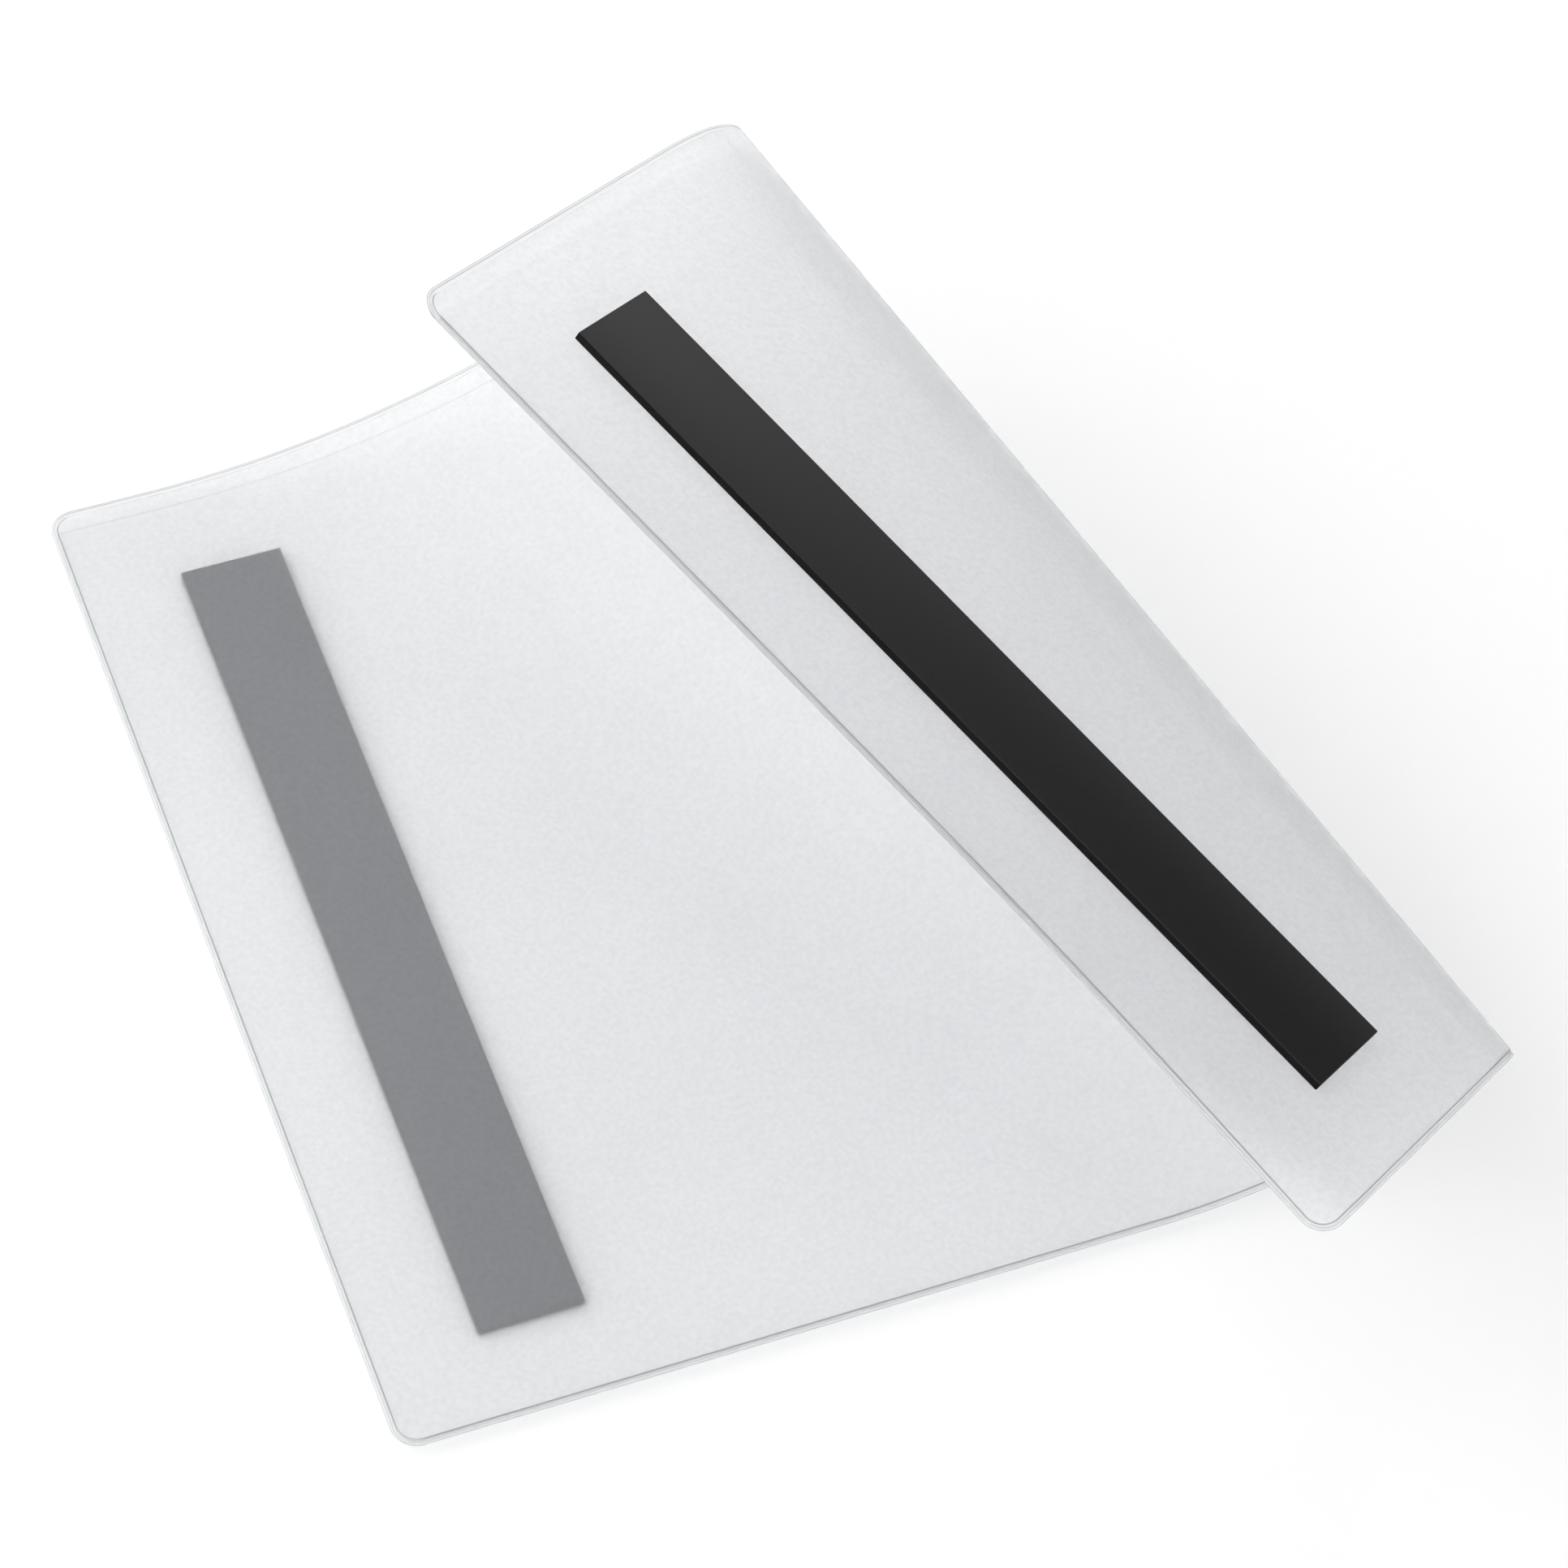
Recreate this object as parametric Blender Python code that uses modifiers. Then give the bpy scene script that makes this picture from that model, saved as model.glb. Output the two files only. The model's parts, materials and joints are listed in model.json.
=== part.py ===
"""Magnetic display pocket: two frosted PVC films welded along three edges, open along the long top edge,
with a self-adhesive magnetic strip on the back at each end.

The pocket is laid out flat, as it is made, and then curled. A thin film can only bend along straight rulings.
Here all the rulings run through one apex below the bottom edge, so the curl is a cone: tight at the bottom
edge and wide at the mouth. The film is cut into flat facets between creases that lie on those rulings, and
every crease folds by the same angle. At a fold angle of zero the pocket is flat again.

Sheet coordinates: x from the left edge, y from the bottom edge, z from the middle of the film pair. The front
of the pocket faces +z. The origin of the part is the centre of the panel strip's magnetic face.
"""
import math

import bpy
from mathutils import Matrix, Vector

# Pocket, for an A4 sheet laid sideways
POCKET_WIDTH = 0.306
POCKET_HEIGHT = 0.220
CORNER_RADIUS = 0.005
FILM_THICKNESS = 0.00025
INSERT_GAP = 0.0003          # clear space between the films, where the paper goes
MOUTH_LIP = 0.005            # the front film stops this far below the rear film's top edge
WELD_WIDTH = 0.0012
WELD_THICKNESS = 0.0005      # both films, pressed together and melted

# Magnetic strips, glued on the back
STRIP_WIDTH = 0.020
STRIP_LENGTH = 0.180
STRIP_THICKNESS = 0.0013
STRIP_EDGE_BREAK = 0.0002
STRIP_SIDE_INSET = 0.021     # from the pocket's side edge to the strip
STRIP_FOOT = 0.019           # from the pocket's bottom edge to the strip
ADHESIVE_THICKNESS = 0.00015
ADHESIVE_INSET = 0.0005      # the tape is cut this much smaller all round

# The curl
APEX_X = 0.2715
APEX_Y = -0.225
CURL_START = math.radians(-29.5)   # ruling angles are measured from +y, positive towards the free edge
LIFT_PITCH = math.radians(3.5)     # wide facets, where the panel lifts off the table
LIFT_CREASES = 3
ROLL_PITCH = math.radians(1.75)    # narrow facets, where it turns over
ROLL_CREASES = 8
FOLD = math.radians(14.5)          # at each crease

# Fits
SEAT_GAP = 0.00025           # between pieces that lie on each other
SIDE_GAP = 0.0003            # between a film and the weld beside it
CREASE_GAP = 0.0003          # between neighbouring facets, across a crease
ARC_STEPS = 6                # straight steps in a quarter circle

# Heights of the layers, from the middle of the film pair
FILM_Z = INSERT_GAP / 2 + FILM_THICKNESS / 2
BACK_Z = -(INSERT_GAP / 2 + FILM_THICKNESS)
ADHESIVE_Z = BACK_Z - SEAT_GAP - ADHESIVE_THICKNESS / 2
STRIP_Z = ADHESIVE_Z - ADHESIVE_THICKNESS / 2 - SEAT_GAP - STRIP_THICKNESS / 2
MAGNET_FACE_Z = STRIP_Z - STRIP_THICKNESS / 2
FILM_INSET = WELD_WIDTH + SIDE_GAP
STRIP_MID_X = STRIP_SIDE_INSET + STRIP_WIDTH / 2
STRIP_MID_Y = STRIP_FOOT + STRIP_LENGTH / 2

# Finishes: colour, roughness and opacity
FINISHES = {
    "frosted_pvc": ((0.78, 0.79, 0.80), 0.45, 0.45),
    "welded_pvc": ((0.70, 0.71, 0.73), 0.30, 0.60),
    "magnetic_rubber": ((0.016, 0.016, 0.017), 0.60, 1.0),
    "adhesive_tape": ((0.021, 0.031, 0.042), 0.50, 1.0),
}


def clear_scene():
    """Removes what a new file starts with."""
    for item in list(bpy.data.objects):
        bpy.data.objects.remove(item)


def new_collection(name):
    """Adds a collection to the scene."""
    group = bpy.data.collections.new(name)
    bpy.context.scene.collection.children.link(group)
    return group


def make_finish(name):
    """A material with the finish's colour, roughness and opacity."""
    colour, roughness, opacity = FINISHES[name]
    material = bpy.data.materials.new(name)
    material.use_nodes = True
    shader = material.node_tree.nodes["Principled BSDF"]
    shader.inputs["Base Color"].default_value = (*colour, 1.0)
    shader.inputs["Roughness"].default_value = roughness
    shader.inputs["Metallic"].default_value = 0.0
    shader.inputs["Alpha"].default_value = opacity
    return material


def crease_angles():
    """The ruling angle of every crease, from the panel to the flap. Each lies in the middle of its pitch."""
    angles = [CURL_START + LIFT_PITCH * (step + 0.5) for step in range(LIFT_CREASES)]
    roll_start = CURL_START + LIFT_PITCH * LIFT_CREASES
    return angles + [roll_start + ROLL_PITCH * (step + 0.5) for step in range(ROLL_CREASES)]


def ruling_x(angle, y, shift=0.0):
    """Where the ruling at this angle, moved sideways by shift, crosses the height y."""
    return APEX_X + (y - APEX_Y) * math.tan(angle) + shift / math.cos(angle)


def arc(centre, radius, start_deg, end_deg):
    """Points on a circle, ends included."""
    steps = max(2, round(ARC_STEPS * abs(end_deg - start_deg) / 90))
    turns = [math.radians(start_deg + (end_deg - start_deg) * step / steps) for step in range(steps + 1)]
    return [(centre[0] + radius * math.cos(turn), centre[1] + radius * math.sin(turn)) for turn in turns]


def facet_outline(first_angle, last_angle, low, high):
    """The film between two creases, from the height low to the height high."""
    near = CREASE_GAP / 2
    return [
        (ruling_x(first_angle, low, near), low),
        (ruling_x(last_angle, low, -near), low),
        (ruling_x(last_angle, high, -near), high),
        (ruling_x(first_angle, high, near), high),
    ]


def end_side(is_flap):
    """How to read a distance from the pocket's side edge as x, and which way that side is cut at its crease."""
    if is_flap:
        return lambda inset: POCKET_WIDTH - inset, CREASE_GAP / 2
    return lambda inset: inset, -CREASE_GAP / 2


def end_film_outline(angle, is_flap, high):
    """A film at one end of the pocket: a side edge inside the weld, and a crease at this angle."""
    place_x, cut = end_side(is_flap)
    inner_radius = CORNER_RADIUS - FILM_INSET
    corner = arc((CORNER_RADIUS, CORNER_RADIUS), inner_radius, 270, 180)
    mouth_centre = (CORNER_RADIUS, POCKET_HEIGHT - CORNER_RADIUS)
    if high > mouth_centre[1]:
        start_deg = 180 - math.degrees(math.acos(inner_radius / CORNER_RADIUS))
        mouth_corner = arc(mouth_centre, CORNER_RADIUS, start_deg, 90)
    else:
        mouth_corner = [(FILM_INSET, high)]
    outline = [(ruling_x(angle, FILM_INSET, cut), FILM_INSET)]
    outline += [(place_x(x), y) for x, y in corner + mouth_corner]
    return outline + [(ruling_x(angle, high, cut), high)]


def end_weld_outline(angle, is_flap):
    """The weld at one end: along the bottom edge, round the corner and up the side edge to the mouth."""
    place_x, cut = end_side(is_flap)
    centre = (CORNER_RADIUS, CORNER_RADIUS)
    mouth_centre = (CORNER_RADIUS, POCKET_HEIGHT - CORNER_RADIUS)
    inner_radius = CORNER_RADIUS - WELD_WIDTH
    end_deg = 180 - math.degrees(math.acos(inner_radius / CORNER_RADIUS))
    outer = arc(centre, CORNER_RADIUS, 270, 180) + arc(mouth_centre, CORNER_RADIUS, 180, end_deg)
    inner = arc(centre, inner_radius, 180, 270)
    outline = [(ruling_x(angle, 0.0, cut), 0.0)]
    outline += [(place_x(x), y) for x, y in outer + inner]
    return outline + [(ruling_x(angle, WELD_WIDTH, cut), WELD_WIDTH)]


def add_plate(name, outline, middle_z, thickness, material, group):
    """A flat piece of film: an outline in the sheet, filled and given its thickness."""
    curve = bpy.data.curves.new(name, "CURVE")
    curve.dimensions = "2D"
    curve.fill_mode = "BOTH"
    curve.extrude = thickness / 2
    spline = curve.splines.new("POLY")
    spline.points.add(len(outline) - 1)
    for point, (x, y) in zip(spline.points, outline):
        point.co = (x, y, 0.0, 1.0)
    spline.use_cyclic_u = True
    curve.materials.append(material)
    plate = bpy.data.objects.new(name, curve)
    plate.location = (0.0, 0.0, middle_z)
    group.objects.link(plate)
    return plate


def add_slab(name, size, centre, material, group, edge_break=0.0):
    """A rectangular slab, its edges broken where a size is given."""
    bpy.ops.mesh.primitive_cube_add(size=1.0, location=centre)
    slab = bpy.context.active_object
    slab.name = name
    slab.data.transform(Matrix.Diagonal((*size, 1.0)))
    slab.data.materials.append(material)
    if edge_break:
        bevel = slab.modifiers.new("edge_break", "BEVEL")
        bevel.width = edge_break
        bevel.segments = 1
    for old_group in list(slab.users_collection):
        old_group.objects.unlink(slab)
    group.objects.link(slab)
    return slab


def add_magnet(place, is_flap, finishes, group):
    """A magnetic strip and the adhesive tape that holds it on the rear film."""
    place_x, _ = end_side(is_flap)
    middle_x = place_x(STRIP_MID_X)
    tape_size = (STRIP_WIDTH - 2 * ADHESIVE_INSET, STRIP_LENGTH - 2 * ADHESIVE_INSET, ADHESIVE_THICKNESS)
    strip_size = (STRIP_WIDTH, STRIP_LENGTH, STRIP_THICKNESS)
    tape = add_slab(f"adhesive_{place}", tape_size, (middle_x, STRIP_MID_Y, ADHESIVE_Z),
                    finishes["adhesive_tape"], group)
    strip = add_slab(f"magnetic_strip_{place}", strip_size, (middle_x, STRIP_MID_Y, STRIP_Z),
                     finishes["magnetic_rubber"], group, STRIP_EDGE_BREAK)
    return [tape, strip]


def add_films(place, outlines, finishes, group):
    """The rear film, the front film and the weld of one facet."""
    rear, front, weld = outlines
    return [
        add_plate(f"rear_film_{place}", rear, -FILM_Z, FILM_THICKNESS, finishes["frosted_pvc"], group),
        add_plate(f"front_film_{place}", front, FILM_Z, FILM_THICKNESS, finishes["frosted_pvc"], group),
        add_plate(f"weld_{place}", weld, 0.0, WELD_THICKNESS, finishes["welded_pvc"], group),
    ]


def build_flat(finishes, group):
    """All pieces of the flat pocket, facet by facet from the panel to the flap."""
    angles = crease_angles()
    front_top = POCKET_HEIGHT - MOUTH_LIP

    def end_pieces(place, angle, is_flap):
        outlines = (end_film_outline(angle, is_flap, POCKET_HEIGHT),
                    end_film_outline(angle, is_flap, front_top),
                    end_weld_outline(angle, is_flap))
        return add_films(place, outlines, finishes, group) + add_magnet(place, is_flap, finishes, group)

    facets = [end_pieces("panel", angles[0], False)]
    for number, (first, last) in enumerate(zip(angles, angles[1:]), start=1):
        outlines = (facet_outline(first, last, FILM_INSET, POCKET_HEIGHT),
                    facet_outline(first, last, FILM_INSET, front_top),
                    facet_outline(first, last, 0.0, WELD_WIDTH))
        facets.append(add_films(f"bend_{number:02d}", outlines, finishes, group))
    facets.append(end_pieces("flap", angles[-1], True))
    return facets


def crease_frame(angle):
    """The crease's place in the flat sheet: its foot at the bottom edge, local X down along the crease."""
    foot = Vector((ruling_x(angle, 0.0), 0.0, 0.0))
    heading = math.atan2(-math.cos(angle), -math.sin(angle))
    return Matrix.Translation(foot) @ Matrix.Rotation(heading, 4, "Z")


def add_empty(name, parent, local_matrix, group):
    """An empty that carries a facet and every facet after it."""
    empty = bpy.data.objects.new(name, None)
    empty.empty_display_size = STRIP_WIDTH
    group.objects.link(empty)
    empty.parent = parent
    empty.matrix_local = local_matrix
    return empty


def curl(facets, group):
    """Hangs each facet on its crease and folds the creases, one carried by the next."""
    origin = Matrix.Translation((-STRIP_MID_X, -STRIP_MID_Y, -MAGNET_FACE_Z))
    carrier = add_empty("pocket", None, origin, group)
    carrier_frame = Matrix.Identity(4)
    for piece in facets[0]:
        piece.parent = carrier
    for number, (angle, pieces) in enumerate(zip(crease_angles(), facets[1:]), start=1):
        frame = crease_frame(angle)
        folded = carrier_frame.inverted() @ frame @ Matrix.Rotation(FOLD, 4, "X")
        carrier = add_empty(f"crease_{number:02d}", carrier, folded, group)
        carrier_frame = frame
        for piece in pieces:
            piece.parent = carrier
            piece.matrix_parent_inverse = frame.inverted()


def main():
    clear_scene()
    group = new_collection("magnetic_display_pocket")
    finishes = {name: make_finish(name) for name in FINISHES}
    facets = build_flat(finishes, group)
    curl(facets, group)
    bpy.context.view_layer.update()


main()
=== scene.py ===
"""Magnetic display pocket: two frosted PVC films welded along three edges, open along the long top edge,
with a self-adhesive magnetic strip on the back at each end. One end is curled over, back side up.

Every piece of film is modelled flat, as the pocket is made, and then laid on the curl. A film can only bend
along straight lines. Here these rulings all run through one apex below the bottom edge, so the curl is a
cone: tight at the bottom edge and wide at the mouth. Where the frame has a crease, the film has a smooth
bend.

Sheet coordinates: x from the left edge, y from the bottom edge, z from the middle of the film pair. The
front of the pocket faces +z.
"""
import json
import math

import bpy
from bpy.props import FloatProperty, FloatVectorProperty, IntProperty, PointerProperty
from mathutils import Matrix, Quaternion, Vector

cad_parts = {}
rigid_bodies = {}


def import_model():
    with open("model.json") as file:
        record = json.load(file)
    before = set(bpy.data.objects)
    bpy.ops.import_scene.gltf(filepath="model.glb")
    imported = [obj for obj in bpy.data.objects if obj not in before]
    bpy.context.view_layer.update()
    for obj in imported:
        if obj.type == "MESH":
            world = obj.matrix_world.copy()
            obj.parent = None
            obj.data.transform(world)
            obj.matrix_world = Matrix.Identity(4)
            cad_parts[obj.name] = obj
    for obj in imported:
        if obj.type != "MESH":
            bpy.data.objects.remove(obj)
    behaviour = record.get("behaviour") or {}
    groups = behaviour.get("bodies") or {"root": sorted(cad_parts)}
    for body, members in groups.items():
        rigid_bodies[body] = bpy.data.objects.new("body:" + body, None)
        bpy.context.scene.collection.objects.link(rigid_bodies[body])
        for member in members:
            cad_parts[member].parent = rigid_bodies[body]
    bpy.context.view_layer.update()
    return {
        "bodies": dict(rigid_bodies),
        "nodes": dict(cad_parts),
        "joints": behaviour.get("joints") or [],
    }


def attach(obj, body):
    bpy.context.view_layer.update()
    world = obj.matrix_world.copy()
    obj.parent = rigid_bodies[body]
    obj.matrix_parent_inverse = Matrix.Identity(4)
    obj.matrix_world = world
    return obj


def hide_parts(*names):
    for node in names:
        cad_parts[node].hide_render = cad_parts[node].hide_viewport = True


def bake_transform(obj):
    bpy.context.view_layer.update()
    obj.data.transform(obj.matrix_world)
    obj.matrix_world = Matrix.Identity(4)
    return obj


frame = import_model()

bl_info = {
    "name": "Magnetic display pocket",
    "version": (1, 0, 0),
    "blender": (4, 5, 0),
    "location": "3D View > Sidebar > Pocket",
    "description": "Frosted display pocket with magnetic strips on its back, one end curled over",
    "category": "Object",
}

MM = 0.001
CUT_TOLERANCE = 1e-7                  # metres: how near to a cut a point counts as on it
SEAM_TOLERANCE = 1e-5                 # radians: how near to a seam a wall counts as on it
FRAME_TOLERANCE = 0.2 * MM            # how far the curl may lie from the frame's own creases
CORNER_STEPS = 10                     # straight steps in a rounded corner
BEND_STEPS = 10                       # bands of film in each smooth bend
MARGIN_STEPS = 14                     # bands of film in the free margin's own curl
END_STEPS = 12                        # bands of film in the flat panel and in the flat part of the flap
EDGE_STEPS = 3                        # bands in the rounded edge of a strip or a tape
ROW_HEIGHT = 10.0 * MM                # height of the faces that a film is made of
MARGIN_REACH = math.radians(3.0)      # the flap is cut along rulings up to this far into its free margin
MARGIN_STEP = math.radians(0.01)      # the small turn that the free margin's curl is worked out from
FILM_TO_WELD = 0.02 * MM              # hairline between a film's edge and the weld it runs into
SEAT = 0.01 * MM                      # hairline between pieces that are glued together
CUT_EDGE = 0.3 * MM                   # how wide the front film's cut edge shows at the mouth
TAPE_EDGE = 0.03 * MM                 # rounding of the tape's edges
SLIT_SLOPE = 0.5                      # a strip's faces that look up or down less than this are slit
FILM_SMOOTHING = math.radians(25.0)   # films and welds look smooth over edges flatter than this
SLAB_SMOOTHING = math.radians(35.0)   # the same for strips and tapes
TAPE_CLOUD = 1.25                     # how much paler the tape is where it wets the film

# Half the thickness of the edge weld, by the distance from the pocket's edge, both in millimetres. From the
# edge inwards: a round bead, the groove of the welding blade, a flat, and the rise to the films.
WELD_PROFILE = ((0.0, 0.10), (0.06, 0.20), (0.16, 0.25), (0.42, 0.25), (0.50, 0.20), (0.58, 0.13),
                (0.66, 0.20), (0.74, 0.26), (0.98, 0.29), (1.10, 0.38), (1.20, 0.40))
# The same for the mouth's single film: it is only trimmed, so the groove is a faint line.
HEM_PROFILE = ((0.0, 0.07), (0.06, 0.11), (0.16, 0.125), (0.42, 0.125), (0.50, 0.11), (0.58, 0.085),
               (0.66, 0.11), (0.74, 0.125), (0.98, 0.125), (1.10, 0.125), (1.20, 0.125))
# Stretches of those profiles, in millimetres from the edge, that turn the light away and get a painted shade
# (fine darker lines): the cut edge and the groove, and the rise to the films, which the mouth doesn't have.
EDGE_LINES = ((0.0, 0.06), (0.42, 0.50))
RISE_LINE = (0.98, 1.20)

# Places of the further materials on a stretch of film or weld, whose main one is at 0
INNER_WALL = 1
# CUT_LINE and HEM_LINE hold the painted shade of the cut edges, the weld's walls and the mouth's hem.
CUT_LINE = 2
HEM_LINE = 3
# Places of the Mix node's colour sockets, which share their names with those for numbers and vectors
MIX_SHARE = 0
MIX_FIRST = 6
MIX_SECOND = 7
MIX_RESULT = 2

# The stage: the directions of the soft lights, then places and sizes in metres
LEFT = (-0.95, 0.0, 0.30)
OVERHEAD = (0.0, 0.0, 1.0)
FRONT = (0.0, -0.95, 0.30)
BEHIND = (0.0, 0.95, 0.30)
SOFT_EDGE = 0.3                       # cosine of the angle from its middle at which a soft light ends
KEY_PLACE = (-0.5, 0.3, 0.9)
RIM_PLACE = (0.6, 0.7, 0.5)
LAMP_AIM = Vector((0.05, 0.0, 0.0))
LAMP_SIZE = 0.5
FLOOR_SIZE = 8.0
NEAREST_SEEN = 0.01                   # the camera shows nothing nearer than this
SENSOR_WIDTH = 36.0                   # millimetres


def srgb(code):
    """A hex sRGB colour as linear red, green and blue."""
    parts = [int(code[place:place + 2], 16) / 255 for place in (1, 3, 5)]
    return tuple(part / 12.92 if part <= 0.04045 else ((part + 0.055) / 1.055) ** 2.4 for part in parts)


def length(name, description, default):
    """A size in metres, shown in the user's own unit."""
    return FloatProperty(name=name, description=description, default=default, unit="LENGTH", precision=5)


def angle(name, description, degrees):
    """An angle, given in degrees."""
    return FloatProperty(name=name, description=description, default=math.radians(degrees), subtype="ANGLE")


def strength(name, description, default):
    """How strong a light is."""
    return FloatProperty(name=name, description=description, default=default, min=0.0)


def colour(name, description, code):
    """A colour, given as a hex sRGB value."""
    return FloatVectorProperty(name=name, description=description, default=srgb(code), subtype="COLOR",
                               min=0.0, max=1.0)


class PocketSizes(bpy.types.PropertyGroup):
    """The flat pocket: A4 laid sideways, with its margins."""

    width: length("Width", "Flat width of the pocket, over the welds", 0.306)
    height: length("Height", "From the bottom edge to the mouth", 0.220)
    corner: length("Corner radius", "Radius of the pocket's four corners", 0.005)
    film: length("Film thickness", "Thickness of each film", 0.00025)
    gap: length("Insert gap", "Clear space between the films", 0.0003)
    lip: length("Mouth lip", "How far the front film stops below the rear film's top edge", 0.005)
    weld: length("Weld width", "Width of the welded edge", 0.0012)


class StripSizes(bpy.types.PropertyGroup):
    """The magnetic strips and their tape."""

    width: length("Width", "Width of a strip", 0.020)
    length: length("Length", "Length of a strip", 0.180)
    edge: length("Edge break", "Rounding of the strip's cut edges", 0.0002)
    inset: length("Side inset", "From the pocket's side edge to the strip", 0.021)
    foot: length("Foot", "From the pocket's bottom edge to the strip", 0.019)
    face: length("Magnetic face", "From the middle of the film pair down to the magnetic face", 0.00235)
    tape: length("Tape thickness", "Thickness of the tape", 0.00015)
    tape_inset: length("Tape inset", "How much smaller the tape is cut all round", 0.0005)


class CurlSizes(bpy.types.PropertyGroup):
    """The cone that the pocket is curled on."""

    apex_x: length("Apex across", "Where the rulings meet, from the left edge", 0.2715)
    apex_y: length("Apex up", "Where the rulings meet, from the bottom edge", -0.225)
    start: angle("Curl start", "Ruling where the panel starts to lift", -29.5)
    lift_pitch: angle("Lift pitch", "Ruling angle taken by each bend of the lift", 3.5)
    lift_bends: IntProperty(name="Lift bends", description="Bends in the lift", default=3)
    roll_pitch: angle("Roll pitch", "Ruling angle taken by each bend of the roll", 1.75)
    roll_bends: IntProperty(name="Roll bends", description="Bends in the roll", default=8)
    fold: angle("Fold", "How far each bend turns", 14.5)
    margin: angle("Margin start", "Ruling where the free margin starts its own curl", 6.0)
    margin_rate: FloatProperty(name="Margin rate", default=22.4,
                               description="Turn of the free margin for each degree of ruling")


class Finishes(bpy.types.PropertyGroup):
    """Colours of the materials."""

    film: colour("Rear film", "Frosted PVC of the rear film", "#f7f7f8")
    # Painted shade: the embossing's hollows get this darker colour, which stands in for the light they hold
    # back.
    film_hollow_shade: colour("Rear film grain", "Hollows of the embossing, which hold the light back", "#ecedee")
    front: colour("Front film", "Clear matt PVC of the front film", "#cbcbcd")
    # Painted shade: a darker colour stands in for the light that the front film's cut edge bends away.
    front_edge_shade: colour("Front edge", "Cut edge of the front film", "#8f9194")
    weld: colour("Weld", "PVC melted clear", "#f7f8f8")
    # Painted shade: these darker colours stand in for the light that the weld's steep walls and the rear
    # film's trimmed edge at the mouth turn away.
    weld_line_shade: colour("Weld lines", "Steep walls in the weld", "#bbbdc0")
    hem_line_shade: colour("Hem lines", "Trimmed edge of the rear film at the mouth", "#84878b")
    strip: colour("Strip", "Plastic-bonded ferrite", "#0b0b0c")
    strip_dust: colour("Strip dust", "Paler ferrite grains", "#151517")
    tape: colour("Tape", "Acrylic tape under a strip", "#232e37")
    floor: colour("Floor", "Pale studio floor", "#f4f4f4")


class StageSettings(bpy.types.PropertyGroup):
    """Camera and lights."""

    camera_place: FloatVectorProperty(name="Camera place", description="Where the camera stands",
                                      default=(-0.18088, -0.58167, 0.87417), subtype="TRANSLATION")
    camera_turn: FloatVectorProperty(name="Camera turn", description="How the camera is turned",
                                     default=[math.radians(part) for part in (36.3333, -2.7726, -20.4640)],
                                     subtype="EULER")
    camera_lens: FloatProperty(name="Lens", description="Focal length in millimetres", default=131.22)
    left_light: strength("Left light", "Strength of the soft light on the left", 1.97)
    top_light: strength("Top light", "Strength of the soft light overhead", 0.43)
    front_light: strength("Front light", "Strength of the soft light in front", 1.07)
    back_light: strength("Back light", "Strength of the soft light behind", 0.55)
    key: strength("Key lamp", "Power of the lamp above the panel, in watts", 1.35)
    rim: strength("Rim lamp", "Power of the lamp behind the flap, in watts", 1.0)


class PocketSettings(bpy.types.PropertyGroup):
    """All values of the pocket."""

    pocket: PointerProperty(type=PocketSizes)
    strip: PointerProperty(type=StripSizes)
    curl: PointerProperty(type=CurlSizes)
    finish: PointerProperty(type=Finishes)
    stage: PointerProperty(type=StageSettings)


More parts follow.
